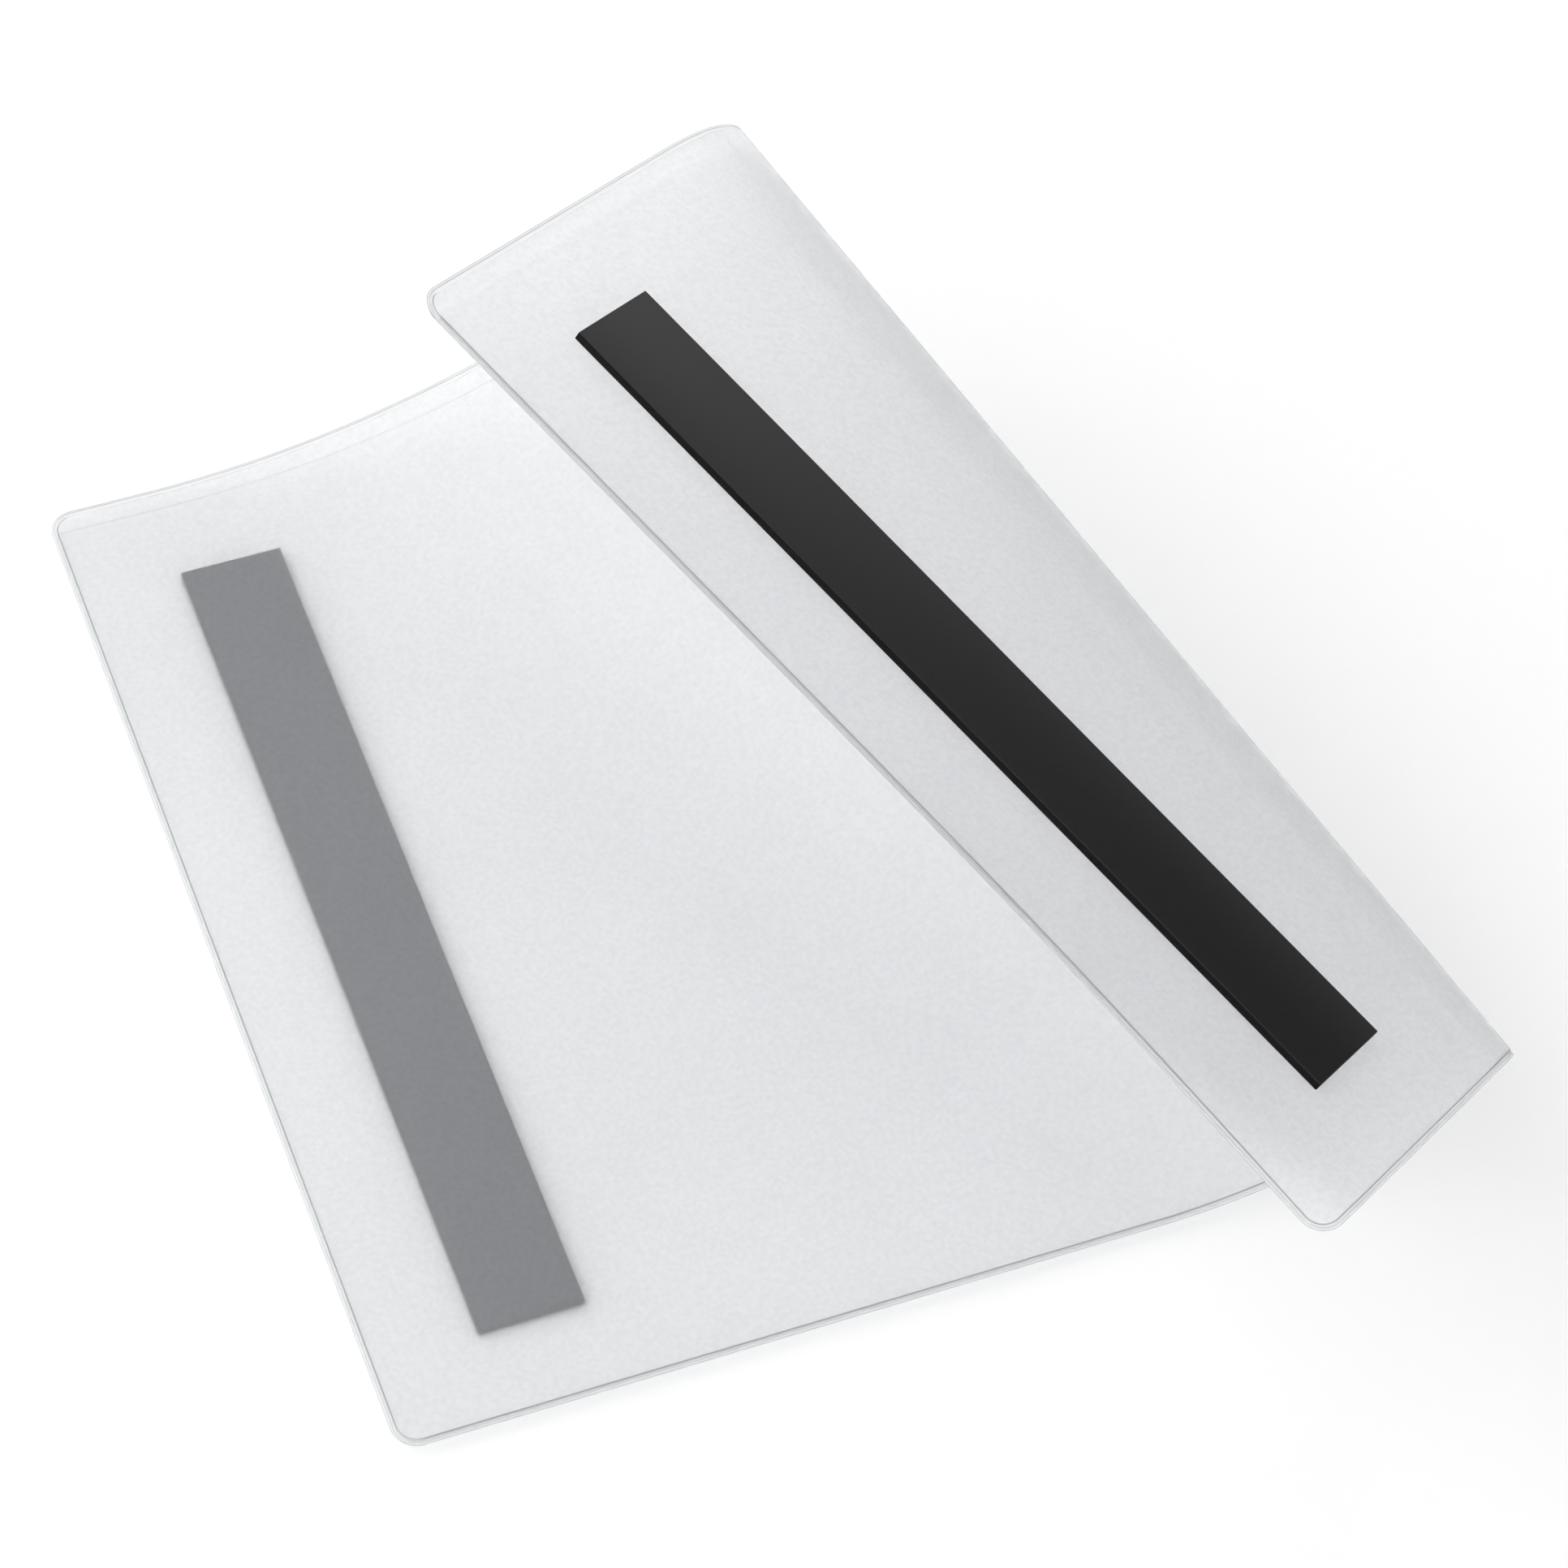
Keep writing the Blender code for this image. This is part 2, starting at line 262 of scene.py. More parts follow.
class Curl:
    """Takes a point of the flat pocket to its place on the curled one."""

    def __init__(self, settings):
        sizes, strip = settings.curl, settings.strip
        self.apex = Vector((sizes.apex_x, sizes.apex_y, 0.0))
        self.seams = [sizes.start]
        for pitch, count in ((sizes.lift_pitch, sizes.lift_bends), (sizes.roll_pitch, sizes.roll_bends)):
            self.seams += [self.seams[-1] + pitch * (step + 1) for step in range(count)]
        self.margin = sizes.margin
        self.margin_rate = sizes.margin_rate
        middle = (strip.inset + strip.width / 2, strip.foot + strip.length / 2)
        self.facets = [Matrix.Translation((-middle[0], -middle[1], strip.face))]
        for first, last in zip(self.seams, self.seams[1:]):
            crease = self.ruling((first + last) / 2)
            folded = crease @ Matrix.Rotation(-sizes.fold, 4, "Y") @ crease.inverted()
            self.facets.append(self.facets[-1] @ folded)
        self.check_frame()

    def check_frame(self):
        """The frame's creases have to run through this curl's apex."""
        apex = self.facets[0] @ self.apex
        if len(frame["joints"]) != len(self.seams) - 1:
            raise RuntimeError("the frame has another number of creases than the curl")
        for joint in frame["joints"]:
            arm = apex - Vector(joint["pos_m"])
            if arm.cross(Vector(joint["axis"])).length > FRAME_TOLERANCE:
                raise RuntimeError(f"crease {joint['name']} of the frame doesn't run through the apex")

    def ruling(self, turn):
        """The frame of a ruling on the flat sheet: origin at the apex, Y out along it, X across it."""
        return Matrix.Translation(self.apex) @ Matrix.Rotation(-turn, 4, "Z")

    @staticmethod
    def swing(first, last, share):
        """The frame part of the way between two ruling frames, turning about the axis of a round cone."""
        between = (first.inverted() @ last).to_quaternion()
        return first @ Quaternion().slerp(between, share).to_matrix().to_4x4()

    def ruling_on_curl(self, turn):
        """The frame of a ruling on the curled sheet."""
        if turn <= self.seams[0]:
            return self.facets[0] @ self.ruling(turn)
        for number, (first, last) in enumerate(zip(self.seams, self.seams[1:])):
            if turn <= last:
                before = self.facets[number] @ self.ruling(first)
                after = self.facets[number + 1] @ self.ruling(last)
                return self.swing(before, after, (turn - first) / (last - first))
        if turn <= self.margin:
            return self.facets[-1] @ self.ruling(turn)
        # The free margin curls on evenly: each degree of ruling turns the film by margin_rate degrees
        half = Matrix.Rotation(MARGIN_STEP / 2, 4, "Z")
        crease = half.inverted() @ Matrix.Rotation(-self.margin_rate * MARGIN_STEP, 4, "Y")
        after = crease @ Matrix.Rotation(-MARGIN_STEP / 2, 4, "Z")
        axis, amount = after.to_quaternion().to_axis_angle()
        whole = Matrix.Rotation(amount * (turn - self.margin) / MARGIN_STEP, 4, axis)
        return self.facets[-1] @ self.ruling(self.margin) @ whole

    def place(self, point):
        """Where a point of the flat pocket lies on the curled one."""
        arm = point - self.apex
        turn = math.atan2(arm.x, arm.y)
        return self.ruling_on_curl(turn) @ Vector((0.0, math.hypot(arm.x, arm.y), point.z))

    def cuts(self, number):
        """The rulings inside one stretch of film: the panel, a bend, or the flap with its free margin."""
        if number == 0:
            return self.spread(math.atan2(-self.apex.x, -self.apex.y), self.seams[0], END_STEPS)
        if number == len(self.seams):
            flat = self.spread(self.seams[-1], self.margin, END_STEPS)
            free = self.spread(self.margin, self.margin + MARGIN_REACH, MARGIN_STEPS)
            return [*flat, self.margin, *free]
        return self.spread(self.seams[number - 1], self.seams[number], BEND_STEPS)

    @staticmethod
    def spread(low, high, steps):
        """The rulings that divide an angle evenly, without its ends."""
        return [low + (high - low) * step / steps for step in range(1, steps)]


def deselect():
    """Nothing selected, so that an operator acts only on the next piece."""
    bpy.ops.object.select_all(action="DESELECT")


def pick(piece, test):
    """Selects the corners of a mesh that pass a test on their place, and enters edit mode."""
    bpy.context.tool_settings.mesh_select_mode = (True, False, False)
    bpy.ops.object.mode_set(mode="EDIT")
    bpy.ops.mesh.select_all(action="DESELECT")
    bpy.ops.object.mode_set(mode="OBJECT")
    for corner in piece.data.vertices:
        corner.select = test(corner.co)
    bpy.ops.object.mode_set(mode="EDIT")


def cut_rows(sheet):
    """Cuts a flat sheet across at even heights, so that no face is long, and just below its top edge."""
    bpy.ops.object.mode_set(mode="EDIT")
    top = max(corner.co.y for corner in sheet.data.vertices)
    heights = [row * ROW_HEIGHT for row in range(1, math.ceil(top / ROW_HEIGHT))]
    for height in (*heights, top - CUT_EDGE):
        bpy.ops.mesh.select_all(action="SELECT")
        bpy.ops.mesh.bisect(plane_co=(0.0, height, 0.0), plane_no=(0.0, 1.0, 0.0), threshold=CUT_TOLERANCE)
    bpy.ops.object.mode_set(mode="OBJECT")


def flat_sheet(name, low, high, bottom_radius, top_radius):
    """A flat sheet between two corner points, with its corners rounded."""
    deselect()
    middle = ((low[0] + high[0]) / 2, (low[1] + high[1]) / 2, 0.0)
    bpy.ops.mesh.primitive_plane_add(size=1.0, location=middle)
    sheet = bpy.context.active_object
    sheet.name = name
    sheet.scale = (high[0] - low[0], high[1] - low[1], 1.0)
    bpy.ops.object.transform_apply(location=True, rotation=False, scale=True)
    if bottom_radius:
        pick(sheet, lambda place: place.y < low[1] + CUT_TOLERANCE)
        bpy.ops.mesh.bevel(offset=bottom_radius, segments=CORNER_STEPS, affect="VERTICES")
    if top_radius:
        bpy.ops.object.mode_set(mode="OBJECT")
        pick(sheet, lambda place: place.y > high[1] - CUT_TOLERANCE)
        bpy.ops.mesh.bevel(offset=top_radius, segments=CORNER_STEPS, affect="VERTICES")
    bpy.ops.object.mode_set(mode="OBJECT")
    return sheet


def take_stretch(sheet, name, curl, number):
    """A copy of the flat sheet, cut to the stretch between two seams and along the rulings in it."""
    deselect()
    sheet.select_set(True)
    bpy.context.view_layer.objects.active = sheet
    bpy.ops.object.duplicate()
    piece = bpy.context.active_object
    piece.name = name
    piece.data.name = name
    bpy.ops.object.mode_set(mode="EDIT")

    def cut(turn, **clear):
        bpy.ops.mesh.select_all(action="SELECT")
        bpy.ops.mesh.bisect(plane_co=curl.apex, plane_no=(math.cos(turn), -math.sin(turn), 0.0),
                            threshold=CUT_TOLERANCE, **clear)

    if number > 0:
        cut(curl.seams[number - 1], clear_inner=True)
    if number < len(curl.seams):
        cut(curl.seams[number], clear_outer=True)
    for turn in curl.cuts(number):
        cut(turn)
    bpy.ops.object.mode_set(mode="OBJECT")
    return piece


def thicken(piece, thickness, middle):
    """Gives a flat piece its thickness about a height."""
    modifier = piece.modifiers.new("thickness", "SOLIDIFY")
    modifier.thickness = thickness
    modifier.offset = 0.0
    bpy.ops.object.modifier_apply(modifier=modifier.name)
    for corner in piece.data.vertices:
        corner.co.z += middle


def mark_seams(piece, curl, number):
    """Gives the walls on a stretch's two seams their own material, as the film goes on there."""
    mesh = piece.data
    ends = [curl.seams[place] for place in (number - 1, number) if 0 <= place < len(curl.seams)]
    for face in mesh.polygons:
        arms = [mesh.vertices[corner].co - curl.apex for corner in face.vertices]
        turns = [math.atan2(arm.x, arm.y) for arm in arms]
        if any(max(abs(turn - end) for turn in turns) < SEAM_TOLERANCE for end in ends):
            face.material_index = INNER_WALL


def lay_on_curl(piece, curl):
    """Moves a flat piece onto the curl."""
    for corner in piece.data.vertices:
        corner.co = curl.place(corner.co)
    deselect()
    piece.select_set(True)
    bpy.context.view_layer.objects.active = piece
    bpy.ops.object.shade_smooth_by_angle(angle=FILM_SMOOTHING)


def carry(piece, curl, number):
    """The panel and the flap ride on their bodies; a bend is left fixed where it lies on the curl."""
    bodies = list(frame["bodies"])
    last = len(curl.seams)
    if number == 0:
        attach(piece, bodies[0])
    elif number == last:
        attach(piece, bodies[-1])
    else:
        # Measured on the bottom edge, where the bend is tightest
        reach = abs(curl.apex.y) / math.cos(curl.seams[number])
        start, end = (curl.ruling_on_curl(turn) @ Vector((0.0, reach, 0.0))
                      for turn in (curl.seams[number - 1], curl.seams[number]))
        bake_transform(piece)


def stretch_name(number, count):
    """The name of a stretch of film, from the panel to the flap."""
    if number == 0:
        return "panel"
    return "flap" if number == count else f"bend_{number:02d}"


def stand_for(kind, name):
    """The piece replaces the frame's node of the same stretch, where there is one."""
    node = f"{kind}_{name}"
    if node in frame["nodes"]:
        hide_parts(node)


def add_node(tree, kind, links=(), values=(), **settings):
    """A shader node with its settings. Links are (own input, other node, other node's output), and values
    are (own input, value) for the inputs that only their place tells apart."""
    node = tree.nodes.new(kind)
    for name, value in settings.items():
        if name in node.inputs:
            node.inputs[name].default_value = value
        else:
            setattr(node, name, value)
    for socket, value in values:
        node.inputs[socket].default_value = value
    for socket, other, output in links:
        tree.links.new(other.outputs[output], node.inputs[socket])
    return node


def new_material(name, **values):
    """A material with one shader, its values set on the shader's own sockets."""
    material = bpy.data.materials.new(name)
    material.use_nodes = True
    shader = material.node_tree.nodes["Principled BSDF"]
    for socket, value in values.items():
        shader.inputs[socket].default_value = value
    return material, material.node_tree, shader


def per_metre(millimetres):
    """The scale of a pattern whose detail is this big."""
    return 1.0 / (millimetres * MM)


def frosted_film(settings):
    """Calendered PVC film, embossed matt on both sides: it lets most light through but scatters it, so that
    only what touches the film is seen sharply through it. The embossing is a fine, even grain."""
    material, tree, shader = new_material("frosted_pvc_film", **{
        "Transmission Weight": 0.90, "IOR": 1.13, "Coat Weight": 0.3, "Coat Roughness": 0.42})
    place = add_node(tree, "ShaderNodeTexCoord")
    # The real grain is about 0.3 mm; it is drawn at 1 mm, as a finer one wouldn't show
    grain = add_node(tree, "ShaderNodeTexNoise", [("Vector", place, "Object")],
                     Scale=per_metre(1.0), Detail=2.0, Roughness=0.6)
    speck = add_node(tree, "ShaderNodeMapRange", [("Value", grain, "Fac")],
                     **{"From Min": 0.35, "From Max": 0.65})
    # Painted shade: where the grain's bump is low, in its hollows, the film's colour is mixed towards the
    # darker hollow colour.
    hollow_shade, ridge = settings.finish.film_hollow_shade, settings.finish.film
    tint = add_node(tree, "ShaderNodeMix", [(MIX_SHARE, speck, "Result")],
                    [(MIX_FIRST, (*hollow_shade, 1.0)), (MIX_SECOND, (*ridge, 1.0))], data_type="RGBA")
    tree.links.new(tint.outputs[MIX_RESULT], shader.inputs["Base Color"])
    bump = add_node(tree, "ShaderNodeBump", [("Height", grain, "Fac")], Strength=0.5, Distance=0.06 * MM)
    tree.links.new(bump.outputs["Normal"], shader.inputs["Normal"])
    tree.links.new(bump.outputs["Normal"], shader.inputs["Coat Normal"])
    cloud = add_node(tree, "ShaderNodeTexNoise", [("Vector", place, "Object")],
                     Scale=per_metre(35.0), Detail=2.0)
    matt = add_node(tree, "ShaderNodeMapRange", [("Value", cloud, "Fac")],
                    **{"From Min": 0.3, "From Max": 0.7, "To Min": 0.69, "To Max": 0.77})
    tree.links.new(matt.outputs["Result"], shader.inputs["Roughness"])
    return material


def clear_film(settings):
    """Calendered PVC film with a fine matt face, so that it doesn't glare over the sheet behind it: clear,
    with a thin white veil."""
    material, tree, shader = new_material("clear_matt_pvc_film", **{
        "Base Color": (*settings.finish.front, 1.0), "IOR": 1.53, "Alpha": 0.03})
    place = add_node(tree, "ShaderNodeTexCoord")
    # The real grain is about 0.2 mm; it is drawn at 0.6 mm, as a finer one wouldn't show
    grain = add_node(tree, "ShaderNodeTexNoise", [("Vector", place, "Object")],
                     Scale=per_metre(0.6), Detail=2.0, Roughness=0.6)
    bump = add_node(tree, "ShaderNodeBump", [("Height", grain, "Fac")], Strength=0.25, Distance=0.04 * MM)
    tree.links.new(bump.outputs["Normal"], shader.inputs["Normal"])
    matt = add_node(tree, "ShaderNodeMapRange", [("Value", grain, "Fac")],
                    **{"To Min": 0.38, "To Max": 0.52})
    tree.links.new(matt.outputs["Result"], shader.inputs["Roughness"])
    return material


def film_edge_shade(settings):
    """Painted shade where the front film was cut off for the mouth: a darker colour stands in for the light
    that the cut bends away, and shows as a fine line.
    """
    return new_material("cut_pvc_edge_shade", **{
        "Base Color": (*settings.finish.front_edge_shade, 1.0), "IOR": 1.53, "Roughness": 0.5, "Alpha": 0.07})[0]


def film_goes_on():
    """Nothing to see: the inner wall where one stretch of film goes on in the next."""
    name = "film_goes_on"
    return bpy.data.materials.get(name) or new_material(name, Alpha=0.0)[0]


def clear_weld(settings):
    """PVC melted between blades: its embossing is gone, so it is clearer and glossier than the film."""
    material, tree, shader = new_material("melted_pvc_weld", **{
        "Base Color": (*settings.finish.weld, 1.0), "Transmission Weight": 0.96, "IOR": 1.25})
    place = add_node(tree, "ShaderNodeTexCoord")
    ripple = add_node(tree, "ShaderNodeTexNoise", [("Vector", place, "Object")],
                      Scale=per_metre(2.5), Detail=2.0)
    bump = add_node(tree, "ShaderNodeBump", [("Height", ripple, "Fac")], Strength=0.15, Distance=0.05 * MM)
    tree.links.new(bump.outputs["Normal"], shader.inputs["Normal"])
    matt = add_node(tree, "ShaderNodeMapRange", [("Value", ripple, "Fac")],
                    **{"To Min": 0.60, "To Max": 0.70})
    tree.links.new(matt.outputs["Result"], shader.inputs["Roughness"])
    return material


def edge_lines(name, tone):
    """Painted shade for the steep walls of the weld and of a cut edge: a greyer colour stands in for the
    light they turn away, and shows as fine grey lines.
    """
    return new_material(name, **{
        "Base Color": (*tone, 1.0), "Transmission Weight": 0.9, "IOR": 1.13, "Roughness": 0.6})[0]


def ferrite_rubber(settings):
    """Plastic-bonded ferrite, calendered into a band: dull black, with fine paler grains."""
    material, tree, shader = new_material("magnetic_ferrite_rubber", IOR=1.5)
    place = add_node(tree, "ShaderNodeTexCoord")
    # The real grains are under 0.1 mm; they are drawn at 0.7 mm, as finer ones wouldn't show
    grains = add_node(tree, "ShaderNodeTexNoise", [("Vector", place, "Object")],
                      Scale=per_metre(0.7), Detail=3.0, Roughness=0.7)
    dust = add_node(tree, "ShaderNodeMapRange", [("Value", grains, "Fac")],
                    **{"From Min": 0.45, "From Max": 0.8})
    dull, paler = settings.finish.strip, settings.finish.strip_dust
    tint = add_node(tree, "ShaderNodeMix", [(MIX_SHARE, dust, "Result")],
                    [(MIX_FIRST, (*dull, 1.0)), (MIX_SECOND, (*paler, 1.0))], data_type="RGBA")
    tree.links.new(tint.outputs[MIX_RESULT], shader.inputs["Base Color"])
    matt = add_node(tree, "ShaderNodeMapRange", [("Value", grains, "Fac")],
                    **{"To Min": 0.42, "To Max": 0.56})
    tree.links.new(matt.outputs["Result"], shader.inputs["Roughness"])
    bump = add_node(tree, "ShaderNodeBump", [("Height", grains, "Fac")], Strength=0.3, Distance=0.04 * MM)
    tree.links.new(bump.outputs["Normal"], shader.inputs["Normal"])
    return material


def slit_ferrite(settings):
    """The slit edge of the strip: torn rather than rolled, so it is rough and has hardly any gloss."""
    material, tree, shader = new_material("slit_ferrite_edge", **{
        "Base Color": (*settings.finish.strip, 1.0), "IOR": 1.5, "Roughness": 0.85,
        "Specular IOR Level": 0.15})
    place = add_node(tree, "ShaderNodeTexCoord")
    # The real tears are about 0.1 mm; they are drawn at 0.4 mm, as finer ones wouldn't show
    grains = add_node(tree, "ShaderNodeTexNoise", [("Vector", place, "Object")],
                      Scale=per_metre(0.4), Detail=3.0)
    bump = add_node(tree, "ShaderNodeBump", [("Height", grains, "Fac")], Strength=0.5, Distance=0.06 * MM)
    tree.links.new(bump.outputs["Normal"], shader.inputs["Normal"])
    return material


def acrylic_tape(settings):
    """Thin dark acrylic tape: even and dull, with a faint cloud where it wets the film."""
    material, tree, shader = new_material("acrylic_tape", IOR=1.47)
    place = add_node(tree, "ShaderNodeTexCoord")
    cloud = add_node(tree, "ShaderNodeTexNoise", [("Vector", place, "Object")],
                     Scale=per_metre(6.0), Detail=3.0)
    tone = settings.finish.tape
    paler = [part * TAPE_CLOUD for part in tone]
    tint = add_node(tree, "ShaderNodeMix", [(MIX_SHARE, cloud, "Fac")],
                    [(MIX_FIRST, (*tone, 1.0)), (MIX_SECOND, (*paler, 1.0))], data_type="RGBA")
    tree.links.new(tint.outputs[MIX_RESULT], shader.inputs["Base Color"])
    matt = add_node(tree, "ShaderNodeMapRange", [("Value", cloud, "Fac")],
                    **{"To Min": 0.42, "To Max": 0.58})
    tree.links.new(matt.outputs["Result"], shader.inputs["Roughness"])
    return material


def studio_paper(settings):
    """Matt white background paper, without a mark."""
    return new_material("studio_paper", **{
        "Base Color": (*settings.finish.floor, 1.0), "IOR": 1.4, "Roughness": 0.9,
        "Specular IOR Level": 0.1})[0]


class POCKET_OT_films(bpy.types.Operator):
    """Adds the rear film and the front film, in stretches from the panel to the flap"""

    bl_idname = "pocket.films"
    bl_label = "Frosted films"

    def execute(self, context):
        settings = context.scene.display_pocket
        sizes = settings.pocket
        curl = Curl(settings)
        # cut is the painted shade of the front film's cut edge at the mouth.
        inner, cut = film_goes_on(), film_edge_shade(settings)
        edge = sizes.weld + FILM_TO_WELD
        radius = sizes.corner - edge
        far = sizes.width - edge
        middle = sizes.gap / 2 + sizes.film / 2
        rear = flat_sheet("rear_flat", (edge, edge), (far, sizes.height - edge), radius, radius)
        front = flat_sheet("front_flat", (edge, edge), (far, sizes.height - sizes.lip), radius, 0.0)
        films = (("rear_film", rear, -middle, frosted_film(settings)),
                 ("front_film", front, middle, clear_film(settings)))
        count = len(curl.seams)
        for kind, sheet, height, finish in films:
            bpy.context.view_layer.objects.active = sheet
            cut_rows(sheet)
            for number in range(count + 1):
                name = stretch_name(number, count)
                piece = take_stretch(sheet, f"{kind}_{name}_sheet", curl, number)
                thicken(piece, sizes.film, height)
                piece.data.materials.append(finish)
                piece.data.materials.append(inner)
                if kind == "front_film":
                    piece.data.materials.append(cut)
                    self.mark_cut(piece, sizes)
                mark_seams(piece, curl, number)
                lay_on_curl(piece, curl)
                carry(piece, curl, number)
                stand_for(kind, name)
            bpy.data.objects.remove(sheet)
        return {"FINISHED"}

    @staticmethod
    def mark_cut(piece, sizes):
        """Gives the front film's cut edge at the mouth its painted shade material."""
        for face in piece.data.polygons:
            if face.center.y > sizes.height - sizes.lip - CUT_EDGE:
                face.material_index = CUT_LINE


class POCKET_OT_weld(bpy.types.Operator):
    """Adds the welded edge, in stretches from the panel to the flap"""

    bl_idname = "pocket.weld"
    bl_label = "Edge weld"

    def execute(self, context):
        settings = context.scene.display_pocket
        sizes, tones = settings.pocket, settings.finish
        curl = Curl(settings)
        # The last two materials are the painted shade of the weld's steep walls and of the trimmed edge at
        # the mouth.
        finishes = (clear_weld(settings), film_goes_on(), edge_lines("melted_pvc_wall_shade", tones.weld_line_shade),
                    edge_lines("trimmed_pvc_wall_shade", tones.hem_line_shade))
        band = flat_sheet("weld_flat", (0.0, 0.0), (sizes.width, sizes.height), sizes.corner, sizes.corner)
        bpy.ops.object.mode_set(mode="EDIT")
        bpy.context.tool_settings.mesh_select_mode = (False, False, True)
        bpy.ops.mesh.select_all(action="SELECT")
        for (outer, _), (distance, _) in zip(WELD_PROFILE, WELD_PROFILE[1:]):
            bpy.ops.mesh.inset(thickness=(distance - outer) * MM, depth=0.0)
        bpy.ops.mesh.delete(type="FACE")
        bpy.ops.object.mode_set(mode="OBJECT")
        cut_rows(band)
        count = len(curl.seams)
        for number in range(count + 1):
            name = stretch_name(number, count)
            piece = take_stretch(band, f"edge_weld_{name}", curl, number)
            thicken(piece, sizes.film, 0.0)
            for finish in finishes:
                piece.data.materials.append(finish)
            self.mark_lines(piece, sizes)
            self.press(piece, sizes)
            mark_seams(piece, curl, number)
            lay_on_curl(piece, curl)
            carry(piece, curl, number)
            stand_for("weld", name)
        bpy.data.objects.remove(band)
        return {"FINISHED"}

    @staticmethod
    def distance(place, sizes):
        """How far a point lies inside the pocket's outline."""
        side_x = abs(place.x - sizes.width / 2) - (sizes.width / 2 - sizes.corner)
        side_y = abs(place.y - sizes.height / 2) - (sizes.height / 2 - sizes.corner)
        outside = math.hypot(max(side_x, 0.0), max(side_y, 0.0))
        return sizes.corner - outside - min(max(side_x, side_y), 0.0)

    def mark_lines(self, piece, sizes):
        """Gives the steep walls of the band their painted shade material, and those at the mouth another."""
        for face in piece.data.polygons:
            distance = self.distance(face.center, sizes) / MM
            at_mouth = face.center.y > sizes.height - sizes.weld
            lines = EDGE_LINES if at_mouth else (*EDGE_LINES, RISE_LINE)
            if any(low < distance < high for low, high in lines):
                face.material_index = HEM_LINE if at_mouth else CUT_LINE

    def press(self, piece, sizes):
        """Gives the band its relief, which goes over into the rear film's trimmed edge at the mouth."""
        for corner in piece.data.vertices:
            distance = self.distance(corner.co, sizes)
            share = (corner.co.y - (sizes.height - sizes.corner)) / sizes.corner
            share = min(max(share, 0.0), 1.0)
            share = share * share * (3 - 2 * share)
            weld, hem = self.half(WELD_PROFILE, distance), self.half(HEM_PROFILE, distance)
            half = weld + (hem - weld) * share
            middle = -(sizes.gap / 2 + sizes.film / 2) * share
            corner.co.z = middle + math.copysign(half, corner.co.z)

    @staticmethod
    def half(profile, distance):
        """Half the band's thickness at a distance from the edge."""
        reach = distance / MM
        for (low, first), (high, last) in zip(profile, profile[1:]):
            if reach <= high:
                share = max(0.0, (reach - low) / (high - low))
                return (first + (last - first) * share) * MM
        return profile[-1][1] * MM


def slab(name, low, high, edge):
    """A slab between two corner points, all its edges rounded."""
    deselect()
    middle = tuple((first + last) / 2 for first, last in zip(low, high))
    bpy.ops.mesh.primitive_cube_add(size=1.0, location=middle)
    piece = bpy.context.active_object
    piece.name = name
    piece.data.name = name
    piece.scale = tuple(last - first for first, last in zip(low, high))
    bpy.ops.object.transform_apply(location=True, rotation=False, scale=True)
    bpy.ops.object.mode_set(mode="EDIT")
    bpy.ops.mesh.select_all(action="SELECT")
    bpy.ops.mesh.bevel(offset=edge, segments=EDGE_STEPS, affect="EDGES")
    bpy.ops.object.mode_set(mode="OBJECT")
    bpy.ops.object.shade_smooth_by_angle(angle=SLAB_SMOOTHING)
    return piece


class POCKET_OT_strips(bpy.types.Operator):
    """Adds the two magnetic strips and the tape that holds each of them on the rear film"""

    bl_idname = "pocket.strips"
    bl_label = "Magnetic strips"

    def execute(self, context):
        settings = context.scene.display_pocket
        sizes = settings.strip
        curl = Curl(settings)
        rubber, slit, acrylic = ferrite_rubber(settings), slit_ferrite(settings), acrylic_tape(settings)
        back = -(settings.pocket.gap / 2 + settings.pocket.film) - SEAT
        top = back - sizes.tape - SEAT
        inset = sizes.tape_inset
        ends = (("panel", sizes.inset, curl.facets[0]),
                ("flap", settings.pocket.width - sizes.inset - sizes.width, curl.facets[-1]))
        for name, left, facet in ends:
            low = (left, sizes.foot)
            high = (left + sizes.width, sizes.foot + sizes.length)
            strip = slab(f"strip_{name}", (*low, -sizes.face), (*high, top), sizes.edge)
            tape = slab(f"tape_{name}", (low[0] + inset, low[1] + inset, top + SEAT),
                        (high[0] - inset, high[1] - inset, back), TAPE_EDGE)
            for face in strip.data.polygons:
                face.material_index = 0 if abs(face.normal.z) > SLIT_SLOPE else 1
            pieces = ((strip, "magnetic_strip", (rubber, slit), "magnetic_rubber"),
                      (tape, "adhesive", (acrylic,), "adhesive_tape"))
            for piece, kind, finishes, slot in pieces:
                piece.data.transform(facet)
                for finish in finishes:
                    piece.data.materials.append(finish)
                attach(piece, name)
                stand_for(kind, name)
        return {"FINISHED"}


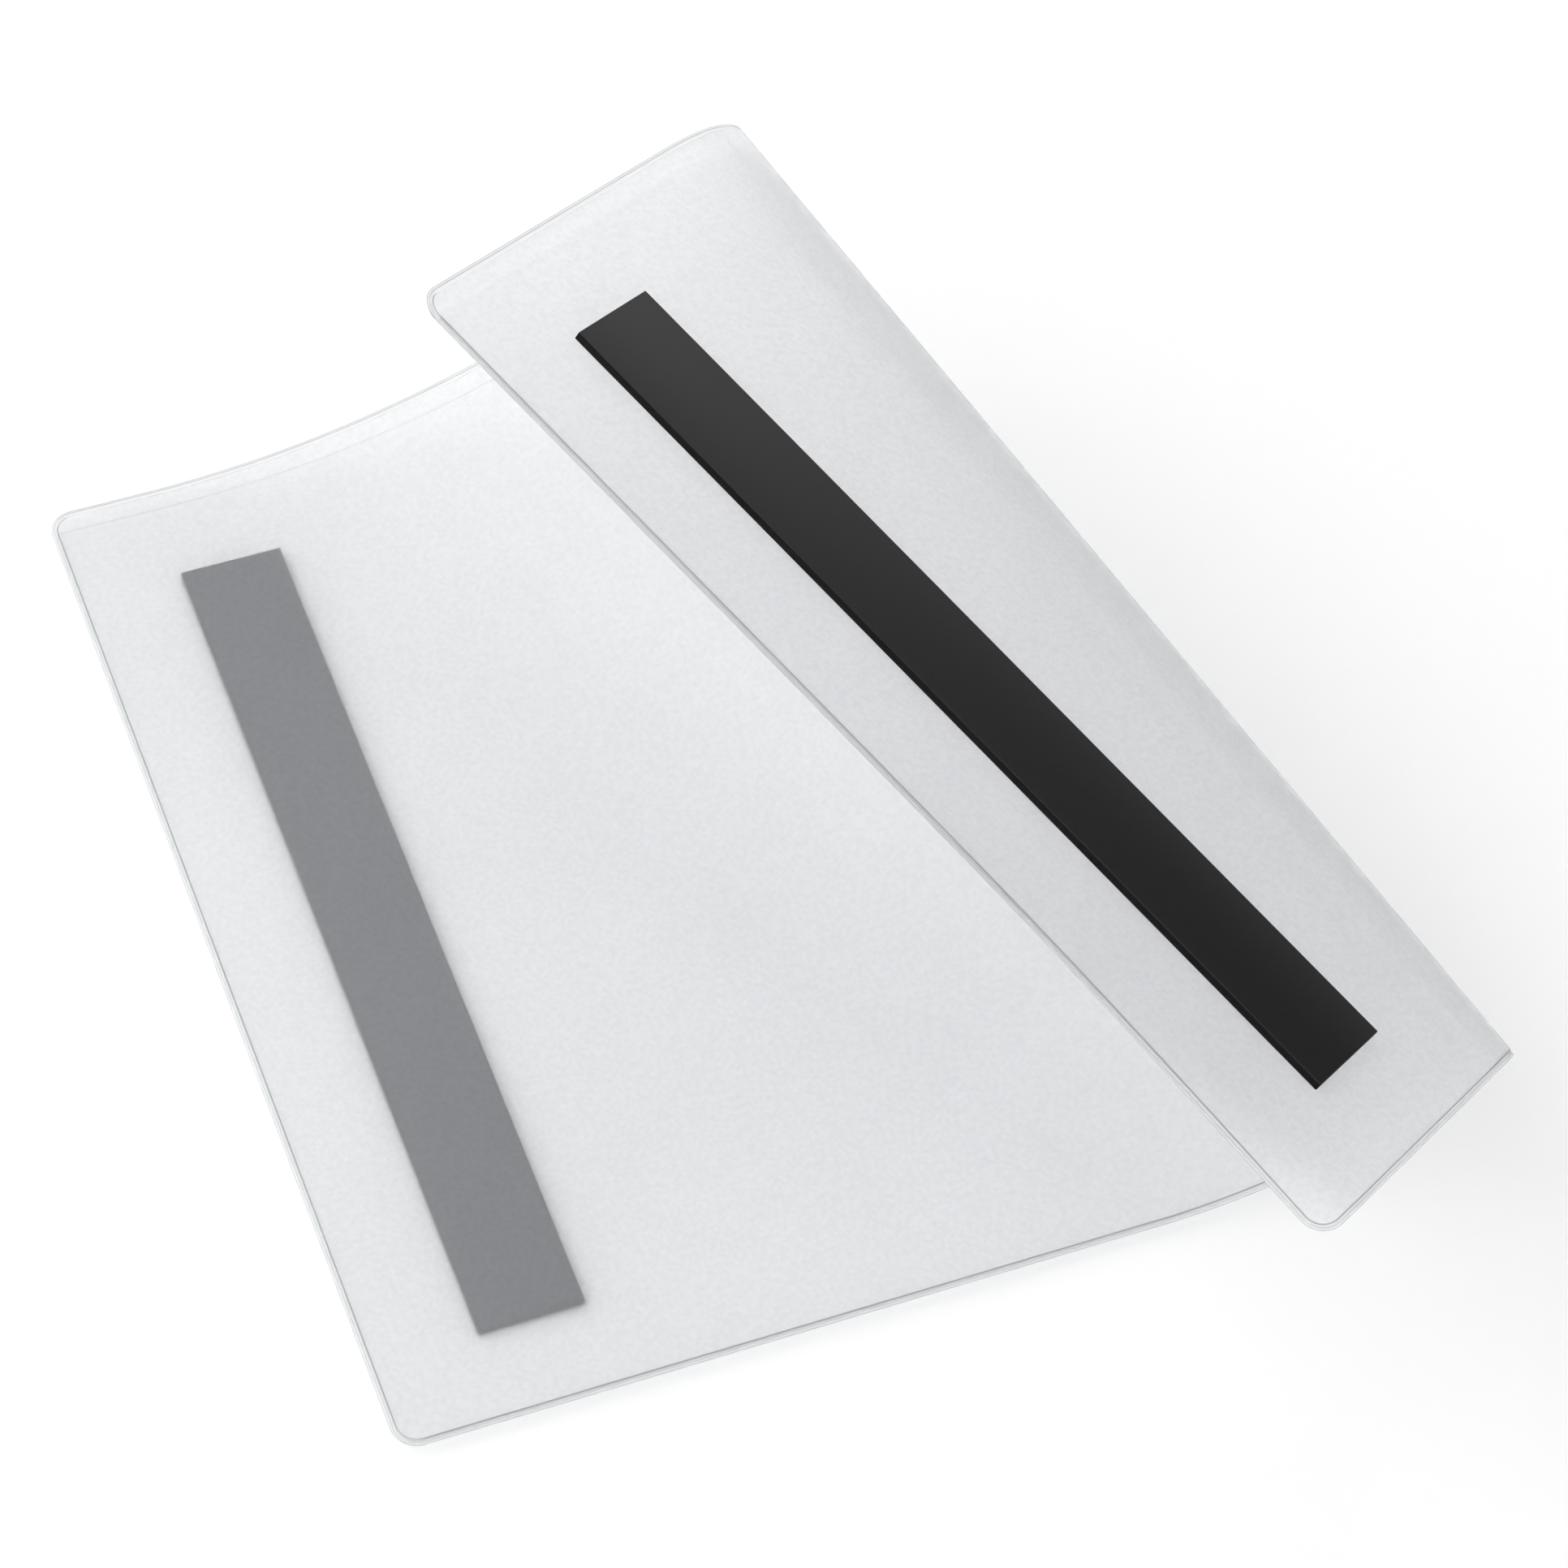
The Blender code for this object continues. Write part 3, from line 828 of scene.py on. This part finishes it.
class POCKET_OT_stage(bpy.types.Operator):
    """Adds the floor, the lights and the camera"""

    bl_idname = "pocket.stage"
    bl_label = "Stage"

    def execute(self, context):
        settings = context.scene.display_pocket
        stage = settings.stage
        deselect()
        bpy.ops.mesh.primitive_plane_add(size=FLOOR_SIZE, location=(0.0, 0.0, -SEAT))
        floor = context.active_object
        floor.name = "floor"
        floor.data.materials.append(studio_paper(settings))

        world = bpy.data.worlds.new("studio")
        context.scene.world = world
        world.use_nodes = True
        tree = world.node_tree
        aim = add_node(tree, "ShaderNodeTexCoord")
        sides = ((LEFT, stage.left_light), (OVERHEAD, stage.top_light), (FRONT, stage.front_light),
                 (BEHIND, stage.back_light))
        light = None
        for side, strongest in sides:
            near = add_node(tree, "ShaderNodeVectorMath", [(0, aim, "Generated")], [(1, side)],
                            operation="DOT_PRODUCT")
            fade = add_node(tree, "ShaderNodeMapRange", [("Value", near, "Value")],
                            interpolation_type="SMOOTHSTEP", **{"From Min": SOFT_EDGE, "To Max": strongest})
            others = [(1, light, "Value")] if light else []
            light = add_node(tree, "ShaderNodeMath", [(0, fade, "Result"), *others], [(1, 0.0)],
                             operation="ADD")
        tree.links.new(light.outputs["Value"], tree.nodes["Background"].inputs["Strength"])
        tree.nodes["Background"].inputs["Color"].default_value = (1.0, 1.0, 1.0, 1.0)

        for name, power, place in (("key", stage.key, KEY_PLACE), ("rim", stage.rim, RIM_PLACE)):
            lamp = bpy.data.lights.new(name, "AREA")
            lamp.shape = "DISK"
            lamp.size = LAMP_SIZE
            lamp.energy = power
            holder = bpy.data.objects.new(name, lamp)
            holder.location = place
            holder.rotation_mode = "QUATERNION"
            holder.rotation_quaternion = (LAMP_AIM - holder.location).to_track_quat("-Z", "Y")
            context.scene.collection.objects.link(holder)

        lens = bpy.data.cameras.new("camera")
        lens.sensor_fit = "HORIZONTAL"
        lens.sensor_width = SENSOR_WIDTH
        lens.lens = stage.camera_lens
        lens.clip_start = NEAREST_SEEN
        camera = bpy.data.objects.new("camera", lens)
        camera.location = stage.camera_place
        camera.rotation_euler = stage.camera_turn
        context.scene.collection.objects.link(camera)
        context.scene.camera = camera
        context.scene.view_settings.view_transform = "Standard"
        return {"FINISHED"}


class VIEW3D_PT_display_pocket(bpy.types.Panel):
    """Lists the pocket's pieces and values"""

    bl_idname = "VIEW3D_PT_display_pocket"
    bl_label = "Magnetic display pocket"
    bl_space_type = "VIEW_3D"
    bl_region_type = "UI"
    bl_category = "Pocket"

    def draw(self, context):
        """A button for each operator, then a box for each group of values."""
        for operator in OPERATORS:
            self.layout.operator(operator.bl_idname)
        settings = context.scene.display_pocket
        for group in (settings.pocket, settings.strip, settings.curl, settings.finish, settings.stage):
            box = self.layout.box()
            for name in group.__annotations__:
                box.prop(group, name)


OPERATORS = (POCKET_OT_stage, POCKET_OT_films, POCKET_OT_weld, POCKET_OT_strips)
CLASSES = (PocketSizes, StripSizes, CurlSizes, Finishes, StageSettings, PocketSettings, *OPERATORS,
           VIEW3D_PT_display_pocket)


def register():
    """Adds the classes and the scene's settings."""
    for item in CLASSES:
        bpy.utils.register_class(item)
    bpy.types.Scene.display_pocket = PointerProperty(type=PocketSettings)


def unregister():
    """Takes the settings and the classes away again."""
    del bpy.types.Scene.display_pocket
    for item in reversed(CLASSES):
        bpy.utils.unregister_class(item)


def main():
    """Builds the pocket on its stage."""
    register()
    bpy.ops.pocket.stage()
    bpy.ops.pocket.films()
    bpy.ops.pocket.weld()
    bpy.ops.pocket.strips()


if __name__ == "__main__":
    main()
